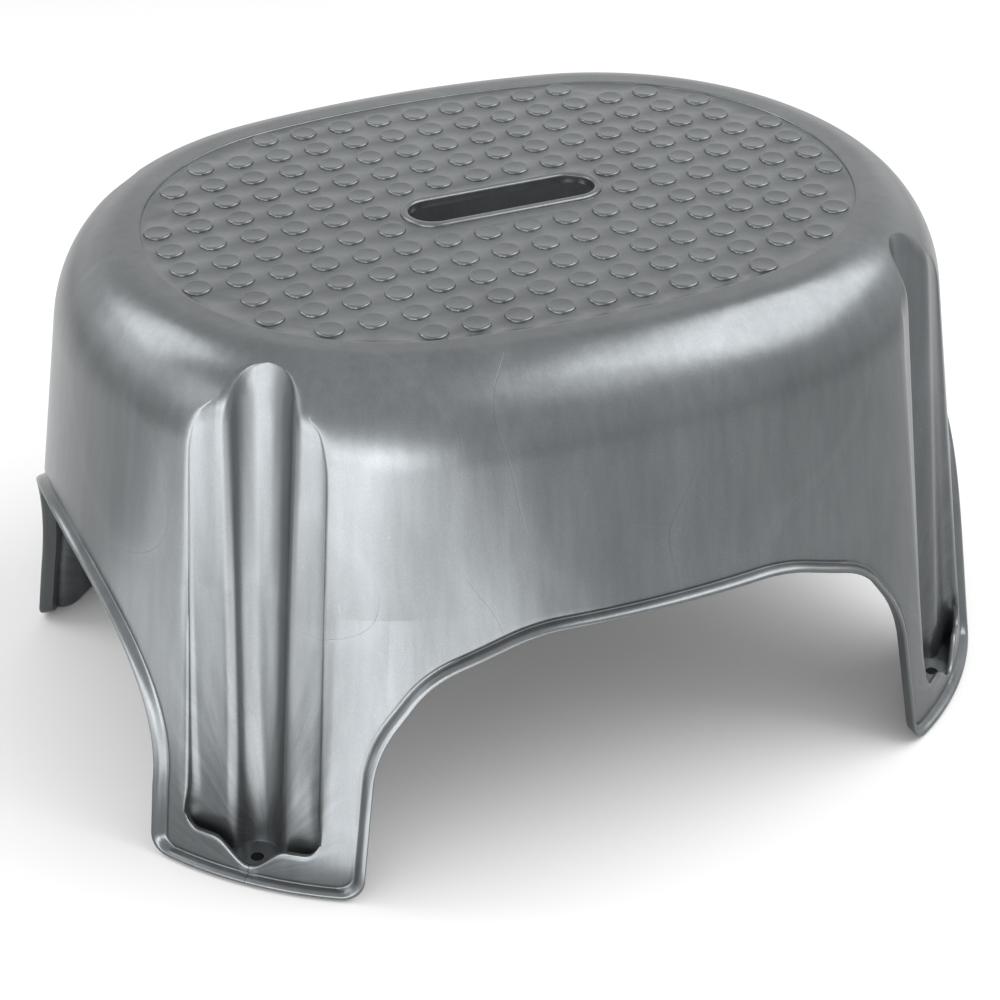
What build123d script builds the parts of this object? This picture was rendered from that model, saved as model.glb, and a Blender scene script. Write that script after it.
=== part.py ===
from build123d import *
import os
from math import atan2, cos, degrees, hypot, radians, sin, sqrt

# One-piece moulded step stool on four push-in rubber feet.  Millimetres, +Z up.  The origin is on
# the floor under the centre of the tread, X runs along the length and Y along the width.
# Heights inside the shell are measured from its own lower edge, which the feet hold off the floor.

# ---- plan of the wall at the shell's lower edge: an oval of tangent arcs ----
HALF_LENGTH = 220.4
HALF_WIDTH = 178.8
SIDE_RADIUS = 451.7      # arc along each long side
CORNER_RADIUS = 168.6    # arc round each leg
END_RADIUS = 183.1       # arc round each end

# ---- section through the wall ----
SHELL_HEIGHT = 220.8     # lower edge to the flat of the tread
WALL = 2.4
DRAFT = 0.147            # how far the wall leans in for each millimetre of height
SHOULDER_RUN = 25.7      # rounding between wall and tread, measured along the tread
SHOULDER_DROP = 37.0     # the same, measured down the wall
FOOT_LIFT = 0.8          # gap under the shell's lower edge

# ---- rolled lip along the whole lower edge ----
LIP_PROUD = 3.5
LIP_HEIGHT = 2.6

# ---- arches between the legs: half widths and heights ----
SIDE_ARCH_FOOT = 130.0
SIDE_ARCH_KNEE = (120.0, 67.6)
SIDE_ARCH_SHOULDER = (97.0, 98.6)
SIDE_ARCH_FLAT = (55.0, 113.6)
SIDE_ARCH_RADII = (70.0, 40.0, 60.0)     # at the flat, the shoulder and the knee
END_ARCH_FOOT = 90.5
END_ARCH_SPRING = (88.0, 31.6)           # where the half ellipse starts
END_ARCH_RISE = 84.0
TOE_RADIUS = 10.0                        # lower corners of each leg

# ---- fluted pocket down the outside of each leg, in the leg's own axes ----
# "depth" runs outward from the centre of the corner arc, "across" is square to it.
POCKET_BEARING = 45.5    # degrees from the X axis
POCKET_HALF = 30.5       # half width of the whole pocket
FLUTE_BACK = 159.1       # depth of the side flutes' back wall at the lower edge
FLUTE_LEAN = 0.135       # how far it leans in for each millimetre of height
FLUTE_CORNER = 6.0
LOBE_FLOOR_RADIUS = 9.7  # the round middle flute, at the pocket's floor
LOBE_FLOOR_DEPTH = 159.0
LOBE_TOP_RADIUS = 14.6   # the same, just under the tread
LOBE_TOP_DEPTH = 135.6
LOBE_TOP_HEIGHT = 217.6
CUSP_RADIUS = 3.0        # rounding between the flutes
POCKET_FLOOR = 5.0       # upper face of the floor
SILL_SIDE = (14.5, 16.2)     # wavy upper edge of the web in front: where its level sides end,
SILL_MIDDLE = (4.0, 6.3)     # and its low middle
SILL_RADIUS = 7.0

# ---- tread ----
FIELD_INSET = 65.9       # edge of the sunk field, in from the oval at the lower edge
FIELD_DEPTH = 0.8
PIP_PITCH = 18.0
PIP_RADIUS = 5.9
PIP_HEIGHT = 1.0
PIP_MARGIN = 6.0         # least distance from a pip's centre to the field's edge
PIP_ROWS = 6             # each side of the length axis
PIP_COLUMNS = 8          # each side of the width axis
SLOT_LENGTH = 84.5
SLOT_WIDTH = 21.5
SLOT_RIM = 3.5
SLOT_RIM_HEIGHT = 1.6    # above the sunk field
SLOT_RIM_ROUNDING = 1.2

# ---- rubber feet ----
HOLE_RADIUS = 2.1        # through the pocket's floor
SEAT_RADIUS = 2.8        # wider upper end of the hole, where the foot's head snaps in
SEAT_DEPTH = 1.0
HEAD_HEIGHT = 0.8
HEAD_ROUNDING = 0.4
FOOT_CLEARANCE = 0.05
PAD_GAP = 0.3            # between the pad's edge and the walls round it

BELOW = -1.0             # cutting tools start this far under the shell
ABOVE = SHELL_HEIGHT + 8.0
CORE_INSET = 75.0        # inside this inset the body is a plain prism
REACH = 300.0            # half length of a tool that passes right through
SLOT_TOOL = 10.0         # half length of the tool that opens the hand slot
UPRIGHT = 0.9            # an edge whose direction has more Z than this runs up the leg

FROM_BELOW = (Align.CENTER, Align.CENTER, Align.MIN)


def corner_centre():
    """Centre of the corner arc, tangent inside both the side arc and the end arc."""
    side_y = HALF_WIDTH - SIDE_RADIUS
    end_x = HALF_LENGTH - END_RADIUS
    from_side = SIDE_RADIUS - CORNER_RADIUS
    from_end = END_RADIUS - CORNER_RADIUS
    span = hypot(end_x, side_y)
    along = (from_side**2 - from_end**2 + span**2) / (2 * span)
    off = sqrt(from_side**2 - along**2)
    unit_x, unit_y = end_x / span, -side_y / span
    return unit_x * along + unit_y * off, side_y + unit_y * along - unit_x * off


CORNER_X, CORNER_Y = corner_centre()
SIDE_Y = HALF_WIDTH - SIDE_RADIUS
END_X = HALF_LENGTH - END_RADIUS
END_ANGLE = degrees(atan2(CORNER_Y, CORNER_X - END_X))
SIDE_ANGLE = degrees(atan2(CORNER_Y - SIDE_Y, CORNER_X))

# Every arc of the oval: centre, radius, first and last bearing.
OVAL_ARCS = [
    (END_X, 0, END_RADIUS, -END_ANGLE, END_ANGLE),
    (CORNER_X, CORNER_Y, CORNER_RADIUS, END_ANGLE, SIDE_ANGLE),
    (0, SIDE_Y, SIDE_RADIUS, SIDE_ANGLE, 180 - SIDE_ANGLE),
    (-CORNER_X, CORNER_Y, CORNER_RADIUS, 180 - SIDE_ANGLE, 180 - END_ANGLE),
    (-END_X, 0, END_RADIUS, 180 - END_ANGLE, 180 + END_ANGLE),
    (-CORNER_X, -CORNER_Y, CORNER_RADIUS, 180 + END_ANGLE, 180 + SIDE_ANGLE),
    (0, -SIDE_Y, SIDE_RADIUS, 180 + SIDE_ANGLE, 360 - SIDE_ANGLE),
    (CORNER_X, -CORNER_Y, CORNER_RADIUS, -SIDE_ANGLE, -END_ANGLE),
]


def oval(inset):
    """The oval's face, its edge moved in by inset."""
    edges = [
        CenterArc((x, y), radius - inset, first, last - first)
        for x, y, radius, first, last in OVAL_ARCS
    ]
    return make_face(edges)


def oval_inset(x, y):
    """How far inside the oval at the lower edge a point of the tread lies."""
    x, y = abs(x), abs(y)
    if degrees(atan2(y, x - END_X)) < END_ANGLE:
        return END_RADIUS - hypot(x - END_X, y)
    if degrees(atan2(y - SIDE_Y, x)) > SIDE_ANGLE:
        return SIDE_RADIUS - hypot(x, y - SIDE_Y)
    return CORNER_RADIUS - hypot(x - CORNER_X, y - CORNER_Y)


def body(inset, bottom, height, run, drop):
    """Solid oval body with leaning walls and a rounded shoulder, turned arc by arc."""
    shoulder = height - drop
    solids = [Pos(0, 0, bottom) * extrude(oval(CORE_INSET), height - bottom)]
    for x, y, radius, first, last in OVAL_ARCS:
        wall = radius - inset
        core = radius - CORE_INSET
        section = make_face([
            Line((core, bottom), (wall - DRAFT * bottom, bottom)),
            Line((wall - DRAFT * bottom, bottom), (wall - DRAFT * shoulder, shoulder)),
            Bezier(
                (wall - DRAFT * shoulder, shoulder),
                (wall - DRAFT * height, height),
                (wall - DRAFT * height - run, height),
                weights=[1, sqrt(0.5), 1],
            ),
            Line((wall - DRAFT * height - run, height), (core, height)),
            Line((core, height), (core, bottom)),
        ])
        bearing = radians(first)
        upright = Plane(
            origin=(x, y, 0),
            x_dir=(cos(bearing), sin(bearing), 0),
            z_dir=(sin(bearing), -cos(bearing), 0),
        )
        solids.append(revolve(upright * section, Axis((x, y, 0), (0, 0, 1)), last - first))
    return solids[0] + solids[1:]


def opening(edges, floor=0.0):
    """Face under an outline that ends at the level of floor on both sides, closed well below it."""
    ends = [(REACH, floor), (REACH, -REACH), (-REACH, -REACH), (-REACH, floor)]
    return make_face([*edges, Polyline(*ends)])


def side_arch():
    """Opening under each long side, as a face across and up."""
    corners = [SIDE_ARCH_FLAT, SIDE_ARCH_SHOULDER, SIDE_ARCH_KNEE, (SIDE_ARCH_FOOT, 0), (REACH, 0)]
    radii = [*SIDE_ARCH_RADII, TOE_RADIUS]
    left = [(-across, height) for across, height in reversed(corners)]
    return opening([FilletPolyline(*left, *corners, radius=[*reversed(radii), *radii])])


def end_arch(grow=0.0):
    """Opening under each end, its edge moved out by grow: half an ellipse on two leaning legs."""
    half, spring = END_ARCH_SPRING
    half += grow
    foot = END_ARCH_FOOT + grow
    rise = END_ARCH_RISE + grow
    toe = TOE_RADIUS - grow
    curve = EllipticalCenterArc((0, spring), half, rise, start_angle=0, arc_size=180)
    leg = FilletPolyline((half, spring), (foot, grow), (REACH, grow), radius=toe)
    other = FilletPolyline((-half, spring), (-foot, grow), (-REACH, grow), radius=toe)
    return opening([curve, leg, other], grow)


def arches(grow=0.0):
    """Tools that pass right through under the long sides and under the ends."""
    side = side_arch()
    if grow:
        side = offset(side, grow)
    end = end_arch(grow)
    return [
        extrude(Plane.XZ * side, REACH, both=True),
        extrude(Plane.YZ * end, REACH, both=True),
    ]


def lobe_at(height):
    """Depth of the axis and radius of the pocket's round middle flute at a height."""
    share = (height - POCKET_FLOOR) / (LOBE_TOP_HEIGHT - POCKET_FLOOR)
    depth = LOBE_FLOOR_DEPTH + share * (LOBE_TOP_DEPTH - LOBE_FLOOR_DEPTH)
    radius = LOBE_FLOOR_RADIUS + share * (LOBE_TOP_RADIUS - LOBE_FLOOR_RADIUS)
    return depth, radius


def flutes(grow=0.0):
    """The pocket's three flutes as one block that is open outwards, its walls moved out by grow."""
    back = FLUTE_BACK - grow * hypot(1, FLUTE_LEAN)
    side = Polyline(
        (back - FLUTE_LEAN * BELOW, BELOW), (REACH, BELOW), (REACH, ABOVE),
        (back - FLUTE_LEAN * ABOVE, ABOVE), close=True,
    )
    block = extrude(Plane.XZ * make_face(side), POCKET_HALF + grow, both=True)
    corners = block.edges().filter_by(lambda edge: abs(edge.tangent_at(0).Z) > UPRIGHT).sort_by(Axis.X)
    block = fillet(corners[:2], FLUTE_CORNER + grow)
    rings = []
    for height in (BELOW, ABOVE):
        depth, radius = lobe_at(height)
        rings.append(Pos(depth, 0, height) * Circle(radius + grow))
    block += loft(rings, ruled=True)
    if grow:
        return block
    cusps = [
        edge for edge in block.edges()
        if abs(edge.tangent_at(0.5).Z) > UPRIGHT and abs(edge.center().Y) < POCKET_HALF - FLUTE_CORNER
        and edge.center().X < LOBE_FLOOR_DEPTH
    ]
    return fillet(cusps, CUSP_RADIUS)


def above_sill():
    """Everything outward of a pocket's deepest part that lies above the wavy edge of its web."""
    half = [SILL_MIDDLE, SILL_SIDE, (POCKET_HALF, SILL_SIDE[1]), (POCKET_HALF, ABOVE)]
    other = [(-across, height) for across, height in reversed(half)]
    edge = FilletPolyline(*other, *half, radius=SILL_RADIUS)
    face = make_face([edge, Line((POCKET_HALF, ABOVE), (-POCKET_HALF, ABOVE))])
    deepest = LOBE_TOP_DEPTH - LOBE_TOP_RADIUS - WALL
    return extrude(Plane.YZ.offset(deepest) * face, REACH)


def floor_slab():
    """The layer that every pocket's floor lies in."""
    span = 2 * REACH
    return Pos(0, 0, POCKET_FLOOR - WALL) * Box(span, span, WALL, align=FROM_BELOW)


def four_legs(solid):
    """A solid in one leg's axes, set at all four legs: rear right, rear left, front left, front right."""
    rear_right = Pos(CORNER_X, CORNER_Y, 0) * Rot(0, 0, POCKET_BEARING) * solid
    rear_left = mirror(rear_right, Plane.YZ)
    return [rear_right, rear_left, mirror(rear_left, Plane.XZ), mirror(rear_right, Plane.XZ)]


def foot_hole():
    """Stepped hole through a pocket's floor."""
    hole = Pos(0, 0, BELOW) * Cylinder(HOLE_RADIUS, POCKET_FLOOR - BELOW, align=FROM_BELOW)
    seat = Pos(0, 0, POCKET_FLOOR - SEAT_DEPTH) * Cylinder(SEAT_RADIUS, SEAT_DEPTH, align=FROM_BELOW)
    return Pos(LOBE_FLOOR_DEPTH, 0, 0) * (hole + seat)


def foot():
    """Rubber foot in its leg's axes: pad under the floor, neck through the hole, head in its seat."""
    pad_bottom = -FOOT_LIFT
    pad_top = POCKET_FLOOR - WALL
    neck_top = POCKET_FLOOR - SEAT_DEPTH
    depth, radius = lobe_at(0)
    pad = Pos(depth, 0, pad_bottom) * Cylinder(radius - PAD_GAP, pad_top - pad_bottom, align=FROM_BELOW)
    room = Pos(-CORNER_X, -CORNER_Y, 0) * inner_body(PAD_GAP)
    pad &= Rot(0, 0, -POCKET_BEARING) * room
    neck = Cylinder(HOLE_RADIUS - FOOT_CLEARANCE, neck_top - pad_top, align=FROM_BELOW)
    head = Cylinder(SEAT_RADIUS - FOOT_CLEARANCE, HEAD_HEIGHT, align=FROM_BELOW)
    head = fillet(head.edges().sort_by(Axis.Z)[-1], HEAD_ROUNDING)
    stem = Pos(0, 0, pad_top) * neck + Pos(0, 0, neck_top) * head
    return pad + Pos(LOBE_FLOOR_DEPTH, 0, 0) * stem


def pip_places():
    """Centres of the tread's pips: a square grid, left out at the slot and near the field's edge."""
    places = []
    for column in range(-PIP_COLUMNS, PIP_COLUMNS + 1):
        for row in range(-PIP_ROWS, PIP_ROWS):
            x, y = column * PIP_PITCH, (row + 0.5) * PIP_PITCH
            beside_slot = abs(x) < SLOT_LENGTH / 2 and abs(y) < SLOT_WIDTH / 2
            if oval_inset(x, y) > FIELD_INSET + PIP_MARGIN and not beside_slot:
                places.append((x, y))
    return places


def tread(shell):
    """Adds the sunk field, the rimmed hand slot and the pips to the shell's flat top."""
    field = SHELL_HEIGHT - FIELD_DEPTH
    root = field - WALL / 2
    rim = SlotOverall(SLOT_LENGTH + 2 * SLOT_RIM, SLOT_WIDTH + 2 * SLOT_RIM)
    rim = extrude(rim, SLOT_RIM_HEIGHT + WALL / 2)
    rim = fillet(rim.edges().group_by(Axis.Z)[-1], SLOT_RIM_ROUNDING)
    pip = Cylinder(PIP_RADIUS, PIP_HEIGHT + WALL / 2, align=FROM_BELOW)
    slot = extrude(SlotOverall(SLOT_LENGTH, SLOT_WIDTH), SLOT_TOOL, both=True)
    shell -= Pos(0, 0, field) * extrude(oval(FIELD_INSET), WALL)
    shell += Pos(0, 0, root) * rim
    shell += [Pos(x, y, root) * pip for x, y in pip_places()]
    return shell - Pos(0, 0, field) * slot


def inner_body(gap=0.0):
    """The space inside the walls and under the tread, kept clear of the walls by gap."""
    slant = WALL * hypot(1, DRAFT)
    run = SHOULDER_RUN + DRAFT * WALL - slant
    ceiling = SHELL_HEIGHT - FIELD_DEPTH - WALL
    return body(slant + gap, BELOW, ceiling, run, SHOULDER_DROP - WALL)


def moulding():
    """The whole shell, standing on its own lower edge."""
    outer = body(0, 0, SHELL_HEIGHT, SHOULDER_RUN, SHOULDER_DROP)
    inside = inner_body()
    thick_wall = body(-LIP_PROUD, 0, SHELL_HEIGHT, SHOULDER_RUN, SHOULDER_DROP) - inside
    side_band, end_band = arches(LIP_HEIGHT)
    lip = (thick_wall & side_band) + (thick_wall & end_band)
    shell = tread(outer - inside) + lip

    pocket = flutes()
    for liner in four_legs(flutes(WALL)):
        shell += liner & outer
    for hollow in four_legs(pocket):
        shell -= (hollow & inside) - floor_slab()
    for cutter in [*four_legs(pocket & above_sill()), *four_legs(foot_hole()), *arches()]:
        shell -= cutter
    return shell


LEG_NAMES = ["rear_right", "rear_left", "front_left", "front_right"]

nodes = {"stool_shell": moulding()}
for leg, solid in zip(LEG_NAMES, four_legs(foot())):
    nodes["foot_" + leg] = solid

os.makedirs("parts", exist_ok=True)
for name, solid in nodes.items():
    export_step(Pos(0, 0, FOOT_LIFT) * solid, f"parts/{name}.step")
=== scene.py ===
"""Moulded step stool: the shell is rebuilt as one fine smooth mesh on the CAD frame, then lit and shaded."""
import math

import bmesh
import bpy
import numpy as np
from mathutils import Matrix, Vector
from mathutils.geometry import delaunay_2d_cdt


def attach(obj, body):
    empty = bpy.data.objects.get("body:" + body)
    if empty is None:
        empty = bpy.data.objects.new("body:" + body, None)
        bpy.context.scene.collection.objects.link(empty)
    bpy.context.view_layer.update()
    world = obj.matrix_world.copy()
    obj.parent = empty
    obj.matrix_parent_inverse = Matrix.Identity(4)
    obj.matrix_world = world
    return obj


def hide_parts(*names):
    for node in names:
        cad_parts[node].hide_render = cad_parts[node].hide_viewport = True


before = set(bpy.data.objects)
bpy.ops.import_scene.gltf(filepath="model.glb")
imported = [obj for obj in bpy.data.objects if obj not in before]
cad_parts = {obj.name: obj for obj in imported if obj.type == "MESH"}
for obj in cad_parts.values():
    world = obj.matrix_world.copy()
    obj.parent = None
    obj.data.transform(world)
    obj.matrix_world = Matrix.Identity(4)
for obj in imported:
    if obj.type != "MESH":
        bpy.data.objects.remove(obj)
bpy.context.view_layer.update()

# ---------------------------------------------------------------- dimensions, millimetres
MM = 0.001
# The shell is drawn with its lower edge at 0 and lifted by FOOT_LIFT at the end.
FOOT_LIFT = 0.8
# The oval at height 0; the arches cut away its four extreme points, so the stool is smaller than this.
HALF_LENGTH, HALF_WIDTH = 220.4, 178.8
SIDE_RADIUS, CORNER_RADIUS, END_RADIUS = 451.7, 168.6, 183.1
SHELL_HEIGHT, WALL, DRAFT = 220.8, 2.4, 0.147
SHOULDER_RUN, SHOULDER_DROP = 25.7, 37.0
SLANT = WALL * math.hypot(1, DRAFT)
# The sunk field of the tread: its height, the height of its underside and its distance inside the outline.
FIELD, UNDER = 220.0, 217.6
FIELD_INSET = 65.9
RIM_INSETS = [60.3, 62.6, 64.6]

# A leg's pocket: two flutes beside a round lobe. BEARING is the leg's direction from the X axis.
BEARING = math.radians(45.5)
POCKET_HALF, FLUTE_BACK, FLUTE_LEAN, FLUTE_CORNER = 30.5, 159.1, 0.121, 7.0
# The lobe's (height, distance out, radius) at the floor and at the top.
LOBE_FLOOR = (5.0, 159.0, 9.7)
LOBE_TOP = (217.6, 135.6, 14.6)
FLOOR_TOP, FLOOR_UNDER = 5.0, 2.6
SEAT_RADIUS, SEAT_DEPTH, HOLE_RADIUS = 2.8, 1.0, 2.1
# Half width of the mesh zone that holds the pocket, and the height where the straight walls' zones end.
ZONE_HALF = 34.5
WALL_TOP = 176.0
# Rounding of the pocket's outer edge, outside and inside, at the sill and above it.
EDGE_AT_SILL, EDGE_OUT, EDGE_IN, EDGE_DRAW, EDGE_RISE = 0.5, 5.0, 0.5, 1.3, 14.0
CUSP_OUT, CUSP_IN = 6.2, 0.8
# The flutes' rounded heads start at ARCH_FOOT and are drawn in by ARCH_DRAW at ARCH_HEAD.
ARCH_FOOT, ARCH_HEAD, ARCH_DRAW = 178.0, 202.0, 9.0
# A flute's back fades into the wall over RUN_OUT; LOBE_EDGE is where the lobe's own depth is measured.
RUN_OUT, LOBE_EDGE = 2.5, 11.0
# Limits on the shape of the pocket's section where it runs out at the head.
THINNEST_LOBE, FULL_LOBE, LARGEST_CORNER, NARROWEST_FLUTE, FLUTE_DEPTH = 0.14, 0.75, 0.7, 1.5, 3.0

# Wavy sill of the web in front of a pocket: low middle, two steps up, and the ends.
SILL_MIDDLE, SILL_STEP, SILL_END_RISE = 6.4, 9.8, 6.0
SILL_STEP_WIDTH, SILL_END_START, SILL_END_WIDTH = 16, 24, 6.5
SILL_END = 22.2
# Rounding of the web's top, the width over which it starts, and how far the lip stays under the top.
WEB_ROUNDING, WEB_ROUNDING_START, WEB_TOP_BAND = 0.95, 3.0, 1.2
SOFT = 1 - math.sqrt(0.5)

# Arches: the end arch is half an ellipse, the side arch a path with rounded corners.
END_ARCH_HALF, END_ARCH_SPRING, END_ARCH_RISE = 88.0, 31.6, 84.0
END_ARCH_FOOT, END_TOE_RADIUS = 90.5, 9.0
SIDE_ARCH = [(0, 113.6), (55, 113.6), (97, 98.6), (120, 67.6), (130, 0)]
SIDE_ARCH_RADII = [70.0, 40.0, 60.0, 10.0]
PATH_STEP = 4.0

# Hand slot and pips.
SLOT_LENGTH, SLOT_WIDTH = 84.5, 21.5
PIP_PITCH, PIP_CLEARANCE = 18.0, 6
PIP_COLUMNS, PIP_ROWS = range(-8, 9), range(-6, 6)
SLOT_CLEAR_HALF = (42, 10.5)
# Points round a pip or a foot's seat, the welding distance in metres, and the angle of a sharp edge.
ROUND_COUNT = 24
WELD = 1.5e-5
SHARP_ANGLE = math.radians(38)

SIDE_Y, END_X = HALF_WIDTH - SIDE_RADIUS, HALF_LENGTH - END_RADIUS


def solve_corner():
    """Centre of the corner arc, tangent inside the side arc and the end arc."""
    from_side, from_end = SIDE_RADIUS - CORNER_RADIUS, END_RADIUS - CORNER_RADIUS
    span = math.hypot(END_X, SIDE_Y)
    along = (from_side**2 - from_end**2 + span**2) / (2 * span)
    off = math.sqrt(from_side**2 - along**2)
    ux, uy = END_X / span, -SIDE_Y / span
    return ux * along + uy * off, SIDE_Y + uy * along - ux * off


CX, CY = solve_corner()
END_ANGLE = math.atan2(CY, CX - END_X)
SIDE_ANGLE = math.atan2(CY - SIDE_Y, CX)


# ---------------------------------------------------------------- surfaces of the first quadrant
def end_xy(a, inset):
    """Plan position at a along the end zone (0 on the X axis, 1 at the joint, 2 at the pocket zone)."""
    a, inset = np.broadcast_arrays(np.asarray(a, float), np.asarray(inset, float))
    last = BEARING - np.arcsin(ZONE_HALF / (CORNER_RADIUS - inset))
    first = a <= 1
    angle = np.where(first, END_ANGLE * a, END_ANGLE + (a - 1) * (last - END_ANGLE))
    radius = np.where(first, END_RADIUS, CORNER_RADIUS) - inset
    return (np.where(first, END_X, CX) + radius * np.cos(angle),
            np.where(first, 0, CY) + radius * np.sin(angle))


def end_a(y, inset):
    """The inverse of end_xy: the place along the end zone of a point at y."""
    last = BEARING - np.arcsin(ZONE_HALF / (CORNER_RADIUS - inset))
    angle = np.arcsin(np.clip(y / (END_RADIUS - inset), -1, 1))
    beyond = np.arcsin(np.clip((y - CY) / (CORNER_RADIUS - inset), -1, 1))
    return np.where(angle <= END_ANGLE, angle / END_ANGLE, 1 + (beyond - END_ANGLE) / (last - END_ANGLE))


def side_xy(a, inset):
    """The same along the side zone (0 on the Y axis, 1 at the joint, 2 at the pocket zone)."""
    a, inset = np.broadcast_arrays(np.asarray(a, float), np.asarray(inset, float))
    last = BEARING + np.arcsin(ZONE_HALF / (CORNER_RADIUS - inset))
    first = a <= 1
    angle = np.where(first, math.pi / 2 + (SIDE_ANGLE - math.pi / 2) * a,
                     SIDE_ANGLE + (a - 1) * (last - SIDE_ANGLE))
    radius = np.where(first, SIDE_RADIUS, CORNER_RADIUS) - inset
    return (np.where(first, 0, CX) + radius * np.cos(angle),
            np.where(first, SIDE_Y, CY) + radius * np.sin(angle))


def side_a(x, inset):
    """The inverse of side_xy: the place along the side zone of a point at x."""
    last = BEARING + np.arcsin(ZONE_HALF / (CORNER_RADIUS - inset))
    angle = np.arccos(np.clip(x / (SIDE_RADIUS - inset), -1, 1))
    beyond = np.arccos(np.clip((x - CX) / (CORNER_RADIUS - inset), -1, 1))
    return np.where(angle >= SIDE_ANGLE, (math.pi / 2 - angle) / (math.pi / 2 - SIDE_ANGLE),
                    1 + (beyond - SIDE_ANGLE) / (last - SIDE_ANGLE))


def leg_xy(v, u):
    """Plan position from the leg's own axes: v across, u outward."""
    c, s = math.cos(BEARING), math.sin(BEARING)
    return CX + u * c - v * s, CY + u * s + v * c


def round_wall(v, radius):
    """Distance out of a corner wall at v across the leg."""
    return np.sqrt(radius**2 - v**2)


def smooth_min(a, b, k):
    """The lesser of a and b, blended where they differ by less than k."""
    h = np.clip(0.5 + 0.5 * (b - a) / k, 0, 1)
    return b + (a - b) * h - k * h * (1 - h)


def sill(v):
    """Wavy upper edge of the web in front of a pocket."""
    t = np.clip((np.abs(v) - 0.5) / SILL_STEP_WIDTH, 0, 1)
    edge = np.clip((np.abs(v) - SILL_END_START) / SILL_END_WIDTH, 0, 1)
    return SILL_MIDDLE + SILL_STEP * t * t * (3 - 2 * t) + SILL_END_RISE * edge**2


def above_sill(z):
    """0 at the sill's end and 1 once EDGE_RISE over it."""
    t = min(max((z - SILL_END) / EDGE_RISE, 0), 1)
    return t * t * (3 - 2 * t)


def arch_in(z):
    """How far a pocket's sides are drawn in at height z: by its soft edge, and by its rounded head."""
    share = min(max((z - ARCH_FOOT) / (ARCH_HEAD - ARCH_FOOT), 0), 1)
    return EDGE_DRAW * above_sill(z) + ARCH_DRAW * (1 - math.sqrt(1 - share**2))


LOBE_STEPS, CUSP_STEPS, BACK_STEPS, CORNER_STEPS, EDGE_STEPS, RIM_STEPS = 10, 7, 4, 8, 6, 4
# Index of the point where a pocket's side ends and its outer edge starts.
SIDE_INDEX = LOBE_STEPS + CUSP_STEPS - 1 + BACK_STEPS + CORNER_STEPS - 1 - 1


def pocket_row(z, radius, grow, edge, cusp, lid=None):
    """Half section of a pocket at height z: (v, u) from its middle to the zone's border.

    radius is the wall's, grow offsets the pocket outward for the liner, edge and cusp are roundings,
    and lid is where the sides end below the sill, where the web covers them.
    """
    half = POCKET_HALF + grow - arch_in(z)
    back = FLUTE_BACK - grow * math.hypot(1, FLUTE_LEAN) - FLUTE_LEAN * z
    share = (z - LOBE_FLOOR[0]) / (LOBE_TOP[0] - LOBE_FLOOR[0])
    depth = LOBE_FLOOR[1] + share * (LOBE_TOP[1] - LOBE_FLOOR[1])
    lobe = LOBE_FLOOR[2] + share * (LOBE_TOP[2] - LOBE_FLOOR[2]) + grow
    level = smooth_min(back, round_wall(LOBE_EDGE, radius), RUN_OUT)
    reach = level - (depth - lobe)
    full = max(reach, FULL_LOBE * lobe)
    top = depth - lobe + full
    cusp_u = top - cusp
    cusp_v = math.sqrt(max((lobe + cusp)**2 - (depth - cusp_u)**2, 0.01))
    alpha = math.atan2(cusp_u - depth, cusp_v)
    t = np.linspace(-math.pi / 2, alpha, LOBE_STEPS)
    psi = np.linspace(math.pi + alpha, math.pi / 2, CUSP_STEPS)[1:]
    v = np.concatenate([lobe * np.cos(t), cusp_v + cusp * np.cos(psi)])
    u = np.concatenate([depth + lobe * np.sin(t), cusp_u + cusp * np.sin(psi)])
    v[0] = 0.0

    def width(d):
        return math.sqrt(max(2 * lobe * d - d * d, 0))

    thin = min(max(width(min(max(reach, 0), lobe)) / width(min(full, lobe)), THINNEST_LOBE), 1.0)
    if reach >= full:
        thin = 1.0
    drop = (top - u) * max(min(reach / full, 1), 0)
    v = v * thin
    half = max(half, v[-1] + NARROWEST_FLUTE)
    u = smooth_min(back, round_wall(v, radius), RUN_OUT) - drop
    corner = min(FLUTE_CORNER + grow, LARGEST_CORNER * (half - v[-1]))
    vb = np.linspace(v[-1], half - corner, BACK_STEPS + 1)[1:]
    ub = smooth_min(back, round_wall(vb, radius), RUN_OUT)
    tau = np.linspace(0, math.pi / 2, CORNER_STEPS)[1:]
    vk = half - corner + corner * np.sin(tau)
    rim = round_wall(half, radius)
    if lid is None:
        rise = corner * min(max((rim - back) / (corner + edge), 0), 1)
    else:
        rise = lid - back
    soft = smooth_min(back, round_wall(vk, radius), RUN_OUT)
    keep = np.clip((rim - back) / FLUTE_DEPTH, 0, 1)
    uk = soft * (1 - keep) + back * keep + rise * (1 - np.cos(tau))
    v, u = np.concatenate([v, vb, vk]), np.concatenate([u, ub, uk])
    tau = np.linspace(0, math.pi / 2, EDGE_STEPS)[1:]
    ve = half + edge * (1 - np.cos(tau))
    gap = round_wall(half, radius) - u[-1]
    ue = round_wall(ve, radius) - max(gap, 0) * (1 - np.sin(tau))
    vr = np.linspace(half + edge, ZONE_HALF, RIM_STEPS + 1)[1:]
    v = np.concatenate([v, ve, vr])
    u = np.concatenate([u, ue, round_wall(vr, radius)])
    return v, np.minimum(u, round_wall(v, radius))


def both_sides(v, u):
    """A full row from its half: mirrored in v."""
    return np.concatenate([-v[:0:-1], v]), np.concatenate([u[:0:-1], u])


# ---------------------------------------------------------------- patches
verts, faces = [], []


def add_points(x, y, z):
    """Adds vertices and returns their indices in the shape of the arguments."""
    x, y, z = np.broadcast_arrays(np.asarray(x, float), np.asarray(y, float), np.asarray(z, float))
    start = len(verts)
    verts.extend(zip(x.ravel(), y.ravel(), z.ravel()))
    return np.arange(start, start + x.size).reshape(x.shape)


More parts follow.
